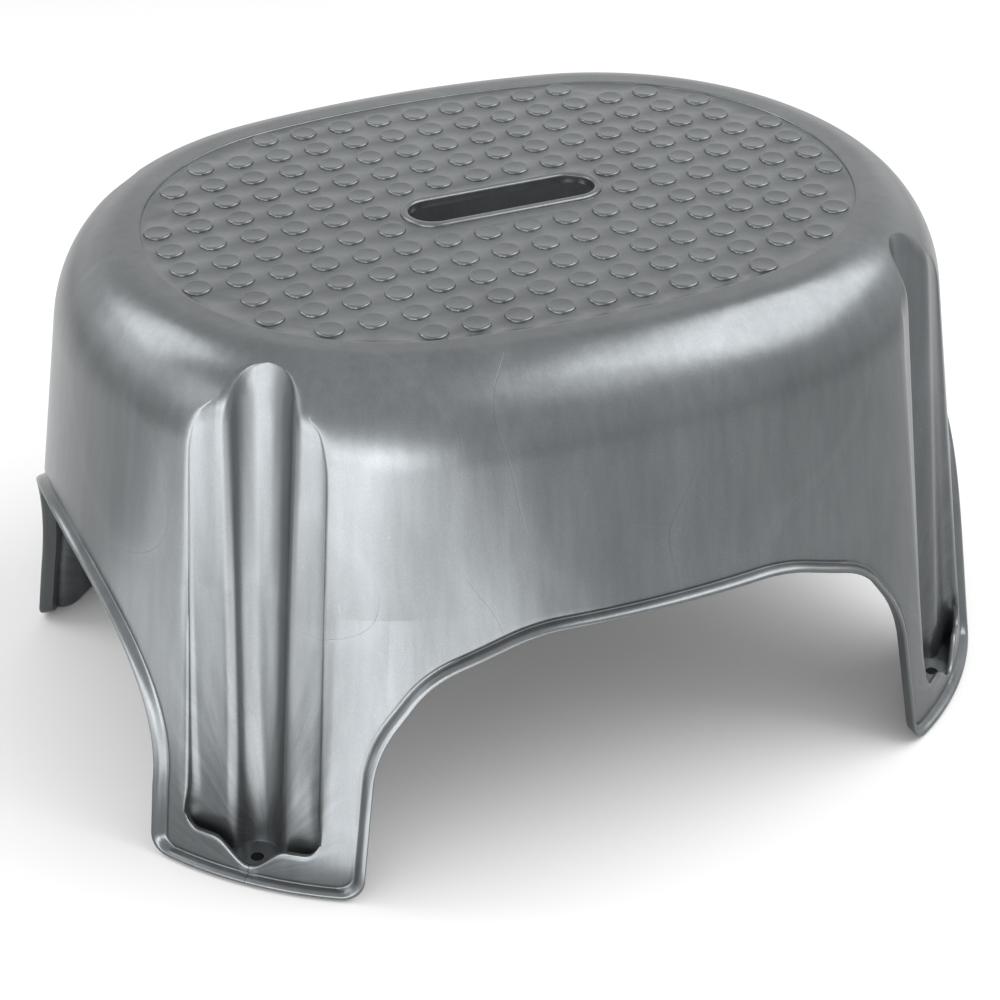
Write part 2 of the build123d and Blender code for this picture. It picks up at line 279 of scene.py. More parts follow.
def add_grid(ids):
    """Quads between the rows and columns of a table of indices."""
    a, b, c, d = ids[:-1, :-1], ids[:-1, 1:], ids[1:, 1:], ids[1:, :-1]
    faces.extend(zip(a.ravel().tolist(), b.ravel().tolist(), c.ravel().tolist(), d.ravel().tolist()))


def inside_loops(points, loops):
    """Even-odd test of points against closed loops."""
    odd = np.zeros(len(points), bool)
    x, y = points[:, 0], points[:, 1]
    for loop in loops:
        for (x0, y0), (x1, y1) in zip(loop, np.roll(loop, -1, axis=0)):
            if y0 == y1:
                continue
            cross = (y0 > y) != (y1 > y)
            odd ^= cross & (x < (x1 - x0) * (y - y0) / (y1 - y0) + x0)
    return odd


def triangulate(loops, inner=None):
    """Triangles of the region between closed loops, with extra inner points."""
    points, edges = [], []
    for loop in loops:
        first = len(points)
        points.extend(map(tuple, loop))
        edges.extend((first + i, first + (i + 1) % len(loop)) for i in range(len(loop)))
    if inner is not None and len(inner):
        points.extend(map(tuple, inner))
    out = delaunay_2d_cdt([Vector(p) for p in points], edges, [], 0, 1e-7)
    places, triangles = np.array([tuple(p) for p in out[0]]), np.array(out[2])
    centre = places[triangles].mean(axis=1)
    return places, triangles[inside_loops(centre, loops)]


def add_flat(loops, z, place=None):
    """Flat face at height z between loops given in plan."""
    places, triangles = triangulate(loops)
    x, y = places[:, 0], places[:, 1]
    if place is not None:
        x, y = place(x, y)
    ids = add_points(x, y, z)
    faces.extend(map(tuple, ids[triangles].tolist()))


def fillet_path(corners, radii, step):
    """Points and normals (to the left of travel) of a polyline with rounded corners."""
    corners = [np.array(c, float) for c in corners]
    points, normals = [], []

    def run(p, q, skip):
        count = max(int(np.linalg.norm(q - p) / step), 1)
        way = (q - p) / np.linalg.norm(q - p)
        for i in range(1 if skip else 0, count + 1):
            points.append(p + (q - p) * i / count)
            normals.append(np.array([-way[1], way[0]]))

    here = corners[0]
    for i in range(1, len(corners) - 1):
        before = (corners[i] - corners[i - 1]) / np.linalg.norm(corners[i] - corners[i - 1])
        after = (corners[i + 1] - corners[i]) / np.linalg.norm(corners[i + 1] - corners[i])
        turn = math.atan2(before[0] * after[1] - before[1] * after[0], before @ after)
        radius = radii[i - 1]
        cut = radius * math.tan(abs(turn) / 2)
        run(here, corners[i] - before * cut, len(points) > 0)
        left = np.array([-before[1], before[0]]) * math.copysign(1, turn)
        centre = corners[i] - before * cut + left * radius
        count = max(int(abs(turn) * radius / step), 7)
        for k in range(1, count + 1):
            angle = turn * k / count
            arm = -left * radius
            arm = np.array([arm[0] * math.cos(angle) - arm[1] * math.sin(angle),
                            arm[0] * math.sin(angle) + arm[1] * math.cos(angle)])
            points.append(centre + arm)
            normals.append(-arm / radius * math.copysign(1, turn))
        here = corners[i] + after * cut
    run(here, corners[-1], True)
    return np.array(points), np.array(normals)


def end_edge():
    """Lower edge of the end zone in (y, z): half the arch, one leg's inner edge and its toe."""
    t = np.linspace(math.pi / 2, 0, 30)
    points = np.stack([END_ARCH_HALF * np.cos(t), END_ARCH_SPRING + END_ARCH_RISE * np.sin(t)], 1)
    normals = np.stack([np.cos(t) / END_ARCH_HALF, np.sin(t) / END_ARCH_RISE], 1)
    normals /= np.linalg.norm(normals, axis=1)[:, None]
    y_end = CY + CORNER_RADIUS * math.sin(BEARING - math.asin(ZONE_HALF / CORNER_RADIUS))
    corners = [(END_ARCH_HALF, END_ARCH_SPRING), (END_ARCH_FOOT, 0), (y_end, 0)]
    leg, leg_normals = fillet_path(corners, [END_TOE_RADIUS], PATH_STEP)
    return np.vstack([points, leg[1:]]), np.vstack([normals, leg_normals[1:]])


def side_edge():
    """Lower edge of the side zone in (x, z)."""
    x_end = CX + CORNER_RADIUS * math.cos(BEARING + math.asin(ZONE_HALF / CORNER_RADIUS))
    return fillet_path([*SIDE_ARCH, (x_end, 0)], SIDE_ARCH_RADII, PATH_STEP)


# Section of the rolled lip: (distance from the lower edge, height over the wall's outer face).
LIP = [(7.0, 0.0), (4.9, 0.0), (4.3, -0.06), (3.75, -0.28), (3.35, -0.36), (3.0, -0.15), (2.85, 0.5),
       (2.75, 1.4), (2.5, 2.4), (2.05, 3.1), (1.4, 3.45), (0.8, 3.35), (0.3, 2.85), (0.05, 2.1), (0.0, 1.2)]
LIP_TOP, BEAD = LIP[0][0], 2.85

END_COLUMNS = np.concatenate([np.linspace(0, 1, 15), np.linspace(1, 2, 8)[1:]])
SIDE_COLUMNS = np.concatenate([np.linspace(0, 1, 16), np.linspace(1, 2, 14)[1:]])
# Heights of the mesh rows of a pocket, closer together just above the sill.
SIDE_CLOSING = 6.0
POCKET_HEIGHTS = np.concatenate([[SILL_END], SILL_END + np.array([1.5, 3.5, SIDE_CLOSING]),
                                 np.linspace(34, WALL_TOP, 19)])
LOW_HEIGHTS = np.linspace(LIP_TOP, SILL_END, 6)
# Width given to a zone's parameter when it is triangulated, so that its triangles are even.
END_SPAN, SIDE_SPAN = 52.0, 74.0
ZONE_GRID, ZONE_START, ZONE_MARGIN, NEAREST_POINT = 4.5, 8, 2, 2.6
LIFT_COUNT = 16


def corner_wall(z, inside=False):
    """Radius of the corner arc's outer or inner face at height z."""
    return CORNER_RADIUS - (SLANT if inside else 0) - DRAFT * z


def edge_at(z):
    """Rounding of the pocket's outer edge, growing upward from the sill."""
    return EDGE_AT_SILL + (EDGE_OUT - EDGE_AT_SILL) * above_sill(z)


def outer_row(z, radius):
    """Pocket row of the outer face; just above the sill its side reaches back to the web."""
    v, u = pocket_row(z, radius, 0.0, edge_at(z), CUSP_OUT)
    if z < SILL_END + SIDE_CLOSING:
        inner = round_wall(POCKET_HALF, radius - SLANT)
        low = pocket_row(z, radius, 0.0, edge_at(z), CUSP_OUT, inner)[1]
        t = (z - SILL_END) / SIDE_CLOSING
        t = t * t * (3 - 2 * t)
        u = low * (1 - t) + u * t
    return v, u


def inner_row(z, radius):
    """Pocket row of the inner face."""
    return pocket_row(z, radius, WALL, EDGE_IN, CUSP_IN)


def rows_of(row, pairs):
    """Stacked full pocket rows for (height, radius) pairs, in plan."""
    xs, ys, zs = [], [], []
    for z, radius in pairs:
        x, y = leg_xy(*both_sides(*row(z, radius)))
        xs.append(x)
        ys.append(y)
        zs.append(np.full(len(x), z))
    return np.array(xs), np.array(ys), np.array(zs)


def zone_wall(edge, to_xy, to_a, columns, scale):
    """Wall between the lip and the shoulder, with the lip itself, for the end zone or the side zone."""
    points, normals = edge
    rows = []
    for away, proud in [*LIP, (0.0, -SLANT)]:
        spot = points + away * normals
        inset = DRAFT * spot[:, 1] - proud
        a = np.clip(to_a(spot[:, 0], inset), 0, 2)
        a[0] = 0.0
        a[-1] = 2.0
        x, y = to_xy(a, inset)
        rows.append((x, y, spot[:, 1]))
    top = points + LIP_TOP * normals
    border = np.clip(to_a(top[:, 0], DRAFT * top[:, 1]), 0, 2)
    border[0], border[-1] = 0.0, 2.0
    x, y = to_xy(border, SLANT + DRAFT * top[:, 1])
    rows.append((x, y, top[:, 1]))
    add_grid(add_points(*[np.array([r[i] for r in rows]) for i in range(3)]))

    heights = np.concatenate([LOW_HEIGHTS, POCKET_HEIGHTS[1:]])
    lift = np.linspace(top[0, 1], WALL_TOP, LIFT_COUNT)
    loop = np.vstack([
        np.stack([border * scale, top[:, 1]], 1),
        np.stack([np.full(len(heights) - 1, 2 * scale), heights[1:]], 1),
        np.stack([columns[::-1][1:] * scale, np.full(len(columns) - 1, WALL_TOP)], 1),
        np.stack([np.zeros(len(lift) - 2), lift[::-1][1:-1]], 1),
    ])
    ga, gz = np.meshgrid(np.arange(ZONE_GRID, 2 * scale - ZONE_MARGIN, ZONE_GRID),
                         np.arange(ZONE_START, WALL_TOP - ZONE_MARGIN, ZONE_GRID))
    inner = np.stack([ga.ravel(), gz.ravel()], 1)
    inner = inner[inside_loops(inner, [loop])]
    near = np.array([np.min(np.hypot(*(loop - p).T)) for p in inner])
    places, triangles = triangulate([loop], inner[near > NEAREST_POINT])
    a, z = places[:, 0] / scale, places[:, 1]
    a[np.abs(a) < 1e-5] = 0.0
    a[np.abs(a - 2) < 1e-5] = 2.0
    for slant in (0.0, SLANT):
        x, y = to_xy(a, slant + DRAFT * z)
        faces.extend(map(tuple, add_points(x, y, z)[triangles].tolist()))


def shoulder(height, run, drop, slant, count):
    """(inset, height) along the rounded shoulder, after the straight wall."""
    t = np.linspace(0, 1, count)
    w = math.sqrt(0.5)
    b0, b1, b2 = (1 - t)**2, 2 * w * t * (1 - t), t**2
    total = b0 + b1 + b2
    low, high = slant + DRAFT * (height - drop), slant + DRAFT * height
    inset = (b0 * low + b1 * high + b2 * (high + run)) / total
    z = (b0 * (height - drop) + (b1 + b2) * height) / total
    return inset, z


def build_quadrant():
    """First quadrant of the shell; returns the outline of the tread's field above and below."""
    zone_wall(end_edge(), end_xy, end_a, END_COLUMNS, END_SPAN)
    zone_wall(side_edge(), side_xy, side_a, SIDE_COLUMNS, SIDE_SPAN)

    # Upper band: wall top, shoulder, rim of the tread and the step down to its sunk field.
    inset, z = shoulder(SHELL_HEIGHT, SHOULDER_RUN, SHOULDER_DROP, 0.0, 26)
    step_down = [FIELD_INSET + away for away in (-0.5, -0.2, 0.0, 0.06, 0.3)]
    step_z = [SHELL_HEIGHT, SHELL_HEIGHT - 0.08, SHELL_HEIGHT - 0.35, FIELD + 0.15, FIELD]
    inset = np.concatenate([[DRAFT * WALL_TOP], inset, RIM_INSETS, step_down])
    z = np.concatenate([[WALL_TOP], z, [SHELL_HEIGHT] * len(RIM_INSETS), step_z])
    outer_loop = upper_band(outer_row, inset, z)
    inset, z = shoulder(UNDER, SHOULDER_RUN + DRAFT * WALL - SLANT, SHOULDER_DROP - WALL, SLANT, 14)
    inset = np.concatenate([[SLANT + DRAFT * WALL_TOP], inset, [inset[-1] + 4]])
    z = np.concatenate([[WALL_TOP], z, [UNDER]])
    inner_loop = upper_band(inner_row, inset, z)

    # Pocket above the sill, and the liner behind it.
    add_grid(add_points(*rows_of(outer_row, [(h, corner_wall(h)) for h in POCKET_HEIGHTS])))
    heights = np.concatenate([[0.0], LOW_HEIGHTS, POCKET_HEIGHTS[1:]])
    add_grid(add_points(*rows_of(inner_row, [(h, corner_wall(h, inside=True)) for h in heights])))
    web()
    return outer_loop, inner_loop


def upper_band(row, inset, z):
    """Structured rows over the whole quadrant; returns the last row's plan."""
    ex, ey = end_xy(END_COLUMNS[None, :], inset[:, None])
    px, py, _ = rows_of(row, list(zip(z, CORNER_RADIUS - inset)))
    sx, sy = side_xy(SIDE_COLUMNS[::-1][None, :], inset[:, None])
    x = np.hstack([ex, px[:, 1:], sx[:, 1:]])
    y = np.hstack([ey, py[:, 1:], sy[:, 1:]])
    add_grid(add_points(x, y, np.broadcast_to(z[:, None], x.shape)))
    return np.stack([x[-1], y[-1]], 1)


def web():
    """The web in front of a pocket, its wavy top, the floor and the leg's underside."""
    near = np.linspace(0, POCKET_HALF, 18)
    v_full = pocket_row(SILL_END, corner_wall(SILL_END), 0.0, edge_at(SILL_END), CUSP_OUT)[0]
    rim = v_full[SIDE_INDEX + 1:]
    v = np.concatenate([near, rim])
    v = np.concatenate([-v[:0:-1], v])
    count = len(rim)
    is_web = np.abs(v) <= POCKET_HALF + 1e-9

    # Lip and lower wall across the zone.
    ceiling = np.where(is_web, np.minimum(sill(v) - WEB_TOP_BAND, LIP_TOP), LIP_TOP)
    rows = []
    for away, proud in LIP:
        z = np.where(away > BEAD, BEAD + (away - BEAD) * (ceiling - BEAD) / (LIP_TOP - BEAD), away)
        rows.append((v, CORNER_RADIUS - DRAFT * z + proud, z))
    rounding = WEB_ROUNDING * np.clip((POCKET_HALF - np.abs(v)) / WEB_ROUNDING_START, 0, 1)
    crest = np.where(is_web, sill(v) - rounding, SILL_END)
    lower = []
    for k in range(len(LOW_HEIGHTS)):
        share = k / (len(LOW_HEIGHTS) - 1)
        z = np.where(is_web, ceiling + (crest - ceiling) * share, LOW_HEIGHTS[k])
        lower.append((v, CORNER_RADIUS - DRAFT * z, z))
    put_rows(rows)
    put_rows(lower)

    # Rounded top of the web, then its back down to the floor.
    w = v[count:-count]
    r = rounding[count:-count]
    s = sill(w)
    top = [(0 * r, -r), (-SOFT * r, -SOFT * r), (-r, 0 * r), (-(SLANT - r), 0 * r),
           (-(SLANT - SOFT * r), -SOFT * r), (-SLANT + 0 * r, -r)]
    rows = [(w, CORNER_RADIUS - DRAFT * (s + dz) + h, s + dz) for h, dz in top]
    crest = s - r
    for share in (0.2, 0.4, 0.6, 0.8, 1.0):
        z = crest + (FLOOR_TOP - crest) * share
        rows.append((w, CORNER_RADIUS - SLANT - DRAFT * z, z))
    put_rows(rows)

    # Narrow ledge where the pocket's rounded edge meets the sill's end.
    radius = corner_wall(SILL_END)
    vv, uu = outer_row(SILL_END, radius)
    for sign in (1, -1):
        sel = slice(SIDE_INDEX, len(vv) - RIM_STEPS)
        x0, y0 = leg_xy(sign * vv[sel], round_wall(vv[sel], radius))
        x1, y1 = leg_xy(sign * vv[sel], uu[sel])
        add_grid(add_points(np.array([x0, x1]), np.array([y0, y1]), SILL_END))

    # Pocket walls below the sill, down to the floor, and the recess under the floor.
    def low_row(z):
        radius = corner_wall(z)
        lid = round_wall(POCKET_HALF, radius - SLANT)
        vv, uu = pocket_row(z, radius, 0.0, edge_at(z), CUSP_OUT, lid)
        vv, uu = vv[:SIDE_INDEX + 1], uu[:SIDE_INDEX + 1].copy()
        uu[-1] = lid
        return both_sides(vv, uu)

    def put_low(heights):
        got = [low_row(z) for z in heights]
        x, y = leg_xy(np.array([g[0] for g in got]), np.array([g[1] for g in got]))
        add_grid(add_points(x, y, np.broadcast_to(np.array(heights)[:, None], x.shape)))

    # The web's back and the pocket's low rows share their last column, so the corner needs no face.
    put_low(np.linspace(FLOOR_TOP, SILL_END, len(LOW_HEIGHTS)))
    put_low([0.0, FLOOR_UNDER])
    back = [(w, CORNER_RADIUS - SLANT - DRAFT * z + 0 * w, z + 0 * w) for z in (FLOOR_UNDER, 0.0)]
    put_rows(back)

    def ring(radius, count=ROUND_COUNT):
        t = np.linspace(0, 2 * math.pi, count, endpoint=False)
        return np.stack([radius * np.cos(t), LOBE_FLOOR[1] + radius * np.sin(t)], 1)

    def pocket_loop(z):
        a, b = low_row(z)
        c, d = w, round_wall(w, CORNER_RADIUS - SLANT - DRAFT * z)
        return np.vstack([np.stack([a, b], 1), np.stack([c[::-1][1:-1], d[::-1][1:-1]], 1)])

    add_flat([pocket_loop(FLOOR_TOP), ring(SEAT_RADIUS)], FLOOR_TOP, leg_xy)
    add_flat([pocket_loop(FLOOR_UNDER), ring(HOLE_RADIUS)], FLOOR_UNDER, leg_xy)
    seat_floor = FLOOR_TOP - SEAT_DEPTH
    rings = [(SEAT_RADIUS, FLOOR_TOP), (SEAT_RADIUS, seat_floor), (HOLE_RADIUS, seat_floor),
             (HOLE_RADIUS, FLOOR_UNDER)]
    t = np.append(np.arange(ROUND_COUNT), 0)
    x, y, z = [], [], []
    for radius, height in rings:
        loop = ring(radius)[t]
        px, py = leg_xy(loop[:, 0], loop[:, 1])
        x.append(px)
        y.append(py)
        z.append(np.full(len(t), height))
    add_grid(add_points(np.array(x), np.array(y), np.array(z)))

    # Underside of the leg.
    rim_u = round_wall(v, CORNER_RADIUS + LIP[-1][1])
    inner_v, inner_u = both_sides(*inner_row(0.0, corner_wall(0, inside=True)))
    outline = np.vstack([np.stack([v, rim_u], 1), np.stack([inner_v[::-1], inner_u[::-1]], 1)])
    add_flat([outline, pocket_loop(0.0)], 0.0, leg_xy)


def put_rows(rows):
    """Grid from rows of (v, wall radius, height) across a leg."""
    x, y, z = [], [], []
    for v, radius, height in rows:
        px, py = leg_xy(v, round_wall(v, radius))
        x.append(px)
        y.append(py)
        z.append(height + 0 * v)
    add_grid(add_points(np.array(x), np.array(y), np.array(z)))


def stadium(away, count=16):
    """Loop round the hand slot, away from its edge."""
    radius, straight = SLOT_WIDTH / 2, (SLOT_LENGTH - SLOT_WIDTH) / 2
    t = np.linspace(-math.pi / 2, math.pi / 2, count)
    right = np.stack([straight + (radius + away) * np.cos(t), (radius + away) * np.sin(t)], 1)
    return np.vstack([right, -right])


def pip_places():
    """Centres of the pips that lie whole inside the field and clear of the hand slot."""
    places = []
    for column in PIP_COLUMNS:
        for row in PIP_ROWS:
            x, y = PIP_PITCH * column, PIP_PITCH * (row + 0.5)
            ax, ay = abs(x), abs(y)
            if math.atan2(ay, ax - END_X) < END_ANGLE:
                inset = END_RADIUS - math.hypot(ax - END_X, ay)
            elif math.atan2(ay - SIDE_Y, ax) > SIDE_ANGLE:
                inset = SIDE_RADIUS - math.hypot(ax, ay - SIDE_Y)
            else:
                inset = CORNER_RADIUS - math.hypot(ax - CX, ay - CY)
            in_slot = ax < SLOT_CLEAR_HALF[0] and ay < SLOT_CLEAR_HALF[1]
            if inset > FIELD_INSET + PIP_CLEARANCE and not in_slot:
                places.append((x, y))
    return places


# Sections of a pip (radius, height over the field) and of the slot's rim (distance from its edge, height).
PIP = [(6.2, 0.0), (6.0, 0.08), (5.92, 0.45), (5.8, 0.82), (5.55, 1.02), (5.2, 1.1), (4.8, 1.03), (4.2, 0.9)]
SLOT = [(3.9, 0.0), (3.55, 0.2), (3.45, 0.8), (3.2, 1.25), (2.7, 1.52), (2.1, 1.6), (1.2, 1.6), (0.55, 1.45),
        (0.12, 1.05), (0.0, 0.6), (0.0, -1.4), (0.0, -2.4)]


def mirrored_loop(quarter):
    """Closed loop from the first quadrant's row, which runs from the X axis to the Y axis."""
    q2 = (quarter * [-1, 1])[::-1][1:]
    top = np.vstack([quarter, q2])
    return np.vstack([top, (top * [1, -1])[::-1][1:-1]])


def build_tread(outer_loop, inner_loop):
    """The field with its pips, the hand slot's rim and the field's underside."""
    circle = np.linspace(0, 2 * math.pi, ROUND_COUNT, endpoint=False)
    loops = [mirrored_loop(outer_loop), stadium(SLOT[0][0])]
    closed = np.append(np.arange(ROUND_COUNT), 0)
    for cx, cy in pip_places():
        ring = np.stack([np.cos(circle), np.sin(circle)], 1)
        loops.append(ring * PIP[0][0] + [cx, cy])
        radius = np.array([p[0] for p in PIP])[:, None]
        height = FIELD + np.array([p[1] for p in PIP])[:, None]
        x, y = cx + radius * ring[closed, 0], cy + radius * ring[closed, 1]
        ids = add_points(x, y, np.broadcast_to(height, x.shape))
        add_grid(ids)
        faces.append(tuple(ids[-1, :-1].tolist()))
    add_flat(loops, FIELD)
    shape = stadium(0.0)
    wrap = np.append(np.arange(len(shape)), 0)
    x = np.array([stadium(a)[wrap, 0] for a, _ in SLOT])
    y = np.array([stadium(a)[wrap, 1] for a, _ in SLOT])
    z = np.array([[FIELD + h] * len(wrap) for _, h in SLOT])
    add_grid(add_points(x, y, z))
    add_flat([mirrored_loop(inner_loop), stadium(0.0)], UNDER)


def build_shell():
    """The whole shell: the quadrant mirrored three times, welded, and the tread."""
    outer_loop, inner_loop = build_quadrant()
    quarter = list(faces)
    base = np.array(verts)
    for sx, sy in ((-1, 1), (-1, -1), (1, -1)):
        start = len(verts)
        verts.extend(map(tuple, base * [sx, sy, 1]))
        faces.extend(tuple(start + i for i in f) for f in quarter)
    build_tread(outer_loop, inner_loop)
    place = np.array(verts) + [0, 0, FOOT_LIFT]
    mesh = bpy.data.meshes.new("shell_moulding")
    mesh.from_pydata((place * MM).tolist(), [], faces)
    bm = bmesh.new()
    bm.from_mesh(mesh)
    bmesh.ops.remove_doubles(bm, verts=bm.verts, dist=WELD)
    bmesh.ops.dissolve_degenerate(bm, dist=1e-7, edges=bm.edges)
    bmesh.ops.recalc_face_normals(bm, faces=bm.faces)
    bm.to_mesh(mesh)
    bm.free()
    mesh.polygons.foreach_set("use_smooth", [True] * len(mesh.polygons))
    mesh.set_sharp_from_angle(angle=SHARP_ANGLE)
    obj = bpy.data.objects.new("shell_moulding", mesh)
    bpy.context.scene.collection.objects.link(obj)
    return obj


shell = build_shell()
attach(shell, "root")
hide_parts("stool_shell")


# ---------------------------------------------------------------- materials
class Graph:
    """A node material written as nested calls."""

    def __init__(self, name, **values):
        self.material = bpy.data.materials.new(name)
        self.material.use_nodes = True
        self.tree = self.material.node_tree
        self.shader = self.tree.nodes["Principled BSDF"]
        self.set(**values)

    def put(self, socket, value):
        """Links a socket to value, or sets its constant."""
        if isinstance(value, bpy.types.NodeSocket):
            self.tree.links.new(value, socket)
        else:
            socket.default_value = value

    def set(self, **values):
        """Sets inputs of the shader, with _ for a space in their names."""
        for key, value in values.items():
            self.put(self.shader.inputs[key.replace("_", " ")], value)

    def add(self, kind, inputs, **settings):
        """New node with its inputs and settings; returns its outputs."""
        node = self.tree.nodes.new(kind)
        for key, value in settings.items():
            setattr(node, key, value)
        for key, value in inputs.items():
            self.put(node.inputs[key], value)
        return node.outputs

    def math(self, operation, a, b=0.0):
        """One arithmetic operation."""
        return self.add("ShaderNodeMath", {0: a, 1: b}, operation=operation)[0]

    def vector(self, operation, a, b=(0, 0, 0)):
        """One vector operation, giving a number for a dot product or a length."""
        out = self.add("ShaderNodeVectorMath", {0: a, 1: b}, operation=operation)
        return out["Value"] if operation in ("DOT_PRODUCT", "LENGTH") else out["Vector"]

    def scale(self, vector, factor):
        """A vector times a number."""
        inputs = {"Vector": vector, "Scale": factor}
        return self.add("ShaderNodeVectorMath", inputs, operation="SCALE")["Vector"]

    def noise(self, place, scale, detail=2.0):
        """Smooth noise about 0.5."""
        return self.add("ShaderNodeTexNoise", {"Vector": place, "Scale": scale, "Detail": detail})["Fac"]

    def remap(self, value, low, high, start, end):
        """A smooth step from start at low to end at high."""
        return self.add("ShaderNodeMapRange", {"Value": value, "From Min": low, "From Max": high,
                                               "To Min": start, "To Max": end},
                        interpolation_type="SMOOTHSTEP")["Result"]

    def product(self, *values):
        """All the values multiplied."""
        out = values[0]
        for value in values[1:]:
            out = self.math("MULTIPLY", out, value)
        return out

    def bump(self, height, distance, normal=None):
        """Normal bumped by height times distance, on top of another normal."""
        inputs = {"Height": height, "Distance": distance}
        if normal is not None:
            inputs["Normal"] = normal
        return self.add("ShaderNodeBump", inputs)["Normal"]


def plain(name, color, rough):
    """Flat material for the stage."""
    return Graph(name, Base_Color=(*color, 1), Roughness=rough).material


def leg_axes(g, place):
    """Across and outward distances from the nearest leg's centre line, in metres."""
    mirrored = g.vector("ABSOLUTE", place)
    c, s = math.cos(BEARING), math.sin(BEARING)
    shift = (CX * s - CY * c) * MM
    across = g.math("ADD", g.vector("DOT_PRODUCT", mirrored, (-s, c, 0)), shift)
    outward = g.math("SUBTRACT", g.vector("DOT_PRODUCT", mirrored, (c, s, 0)), (CX * c + CY * s) * MM)
    return across, outward


def hypotenuse(g, a, b):
    """Length of the sides a and b together."""
    return g.math("SQRT", g.math("ADD", g.math("MULTIPLY", a, a), g.math("MULTIPLY", b, b)))


def near_zero(g, value, width):
    """1 where value is 0, falling to 0 at width on both sides."""
    return g.remap(g.math("ABSOLUTE", value), 0.0, width, 1.0, 0.0)


def weld_lines(g, place):
    """Thin lines where a slow field crosses its middle value, in a few patches, and the swirl beside them."""
    field = g.noise(g.vector("MULTIPLY", place, (17, 17, 11)), 1.0, 0.0)
    from_middle = g.math("SUBTRACT", field, 0.52)
    patch = g.remap(g.noise(place, 9.0, 0.0), 0.50, 0.60, 0.0, 1.0)
    weld = g.math("MULTIPLY", near_zero(g, from_middle, 0.0022), patch)
    swirl = g.remap(g.math("ABSOLUTE", from_middle), 0.0, 0.05, 1.05, 0.99)
    return weld, swirl


def foot_fan(g, across, outward, height):
    """Rays that fan up from the foot of each leg: their tone, and the thin flow lines between them."""
    rise = g.math("SUBTRACT", height, 0.004)
    angle = g.math("ARCTAN2", across, rise)
    reach = hypotenuse(g, across, rise)
    rays = g.add("ShaderNodeCombineXYZ", {"X": g.math("MULTIPLY", angle, 11.0),
                                          "Y": g.math("MULTIPLY", reach, 16.0)})["Vector"]
    near_leg = g.math("MULTIPLY", g.remap(g.math("ABSOLUTE", across), 0.026, 0.045, 1.0, 0.0),
                      g.remap(outward, 0.110, 0.118, 0.0, 1.0))
    fade = g.math("MULTIPLY", near_leg, g.remap(reach, 0.045, 0.175, 1.0, 0.0))
    ray = g.noise(rays, 1.0, 3.0)
    fan = g.math("ADD", 1.0, g.math("MULTIPLY", fade, g.remap(ray, 0.3, 0.7, -0.12, 0.13)))
    flow = g.math("MULTIPLY", fade, near_zero(g, g.math("SUBTRACT", ray, 0.5), 0.012))
    return fan, flow


def floor_marks_and_painted_light(g, across, outward, height):
    """Turned rings on the disc round each foot, the weld line in the web in front of it, and painted light
    that lightens the disc against the shade in the pocket's floor.
    """
    radial = hypotenuse(g, across, g.math("SUBTRACT", outward, LOBE_FLOOR[1] * MM))
    low = g.remap(height, 0.0062, 0.0072, 1.0, 0.0)
    on_floor = g.math("MULTIPLY", low, g.remap(radial, 0.0093, 0.0102, 1.0, 0.0))
    rings = g.math("MULTIPLY", on_floor, g.math("SINE", g.math("MULTIPLY", radial, 4200.0)))
    # Painted light: the floor disc round each foot is made half as light again, to lift the shade that falls
    # on the pocket's floor.
    painted_disc_light = g.remap(on_floor, 0.0, 1.0, 1.0, 1.5)
    seam = g.product(g.remap(g.math("ABSOLUTE", across), 0.00012, 0.0003, 1.0, 0.0),
                     g.remap(height, 0.016, 0.022, 1.0, 0.0), g.remap(outward, 0.1642, 0.1650, 0.0, 1.0))
    return rings, painted_disc_light, seam


def scratches(g, place):
    """Small scratches: short, thin and few."""
    tilt = {"Vector": place, "Angle": 0.7}
    tilted = g.add("ShaderNodeVectorRotate", tilt, rotation_type="X_AXIS")["Vector"]
    field = g.noise(g.vector("MULTIPLY", tilted, (900, 900, 45)), 1.0, 0.0)
    patch = g.remap(g.noise(place, 21.0, 0.0), 0.56, 0.64, 0.0, 1.0)
    return g.math("MULTIPLY", g.remap(field, 0.80, 0.84, 0.0, 0.5), patch)


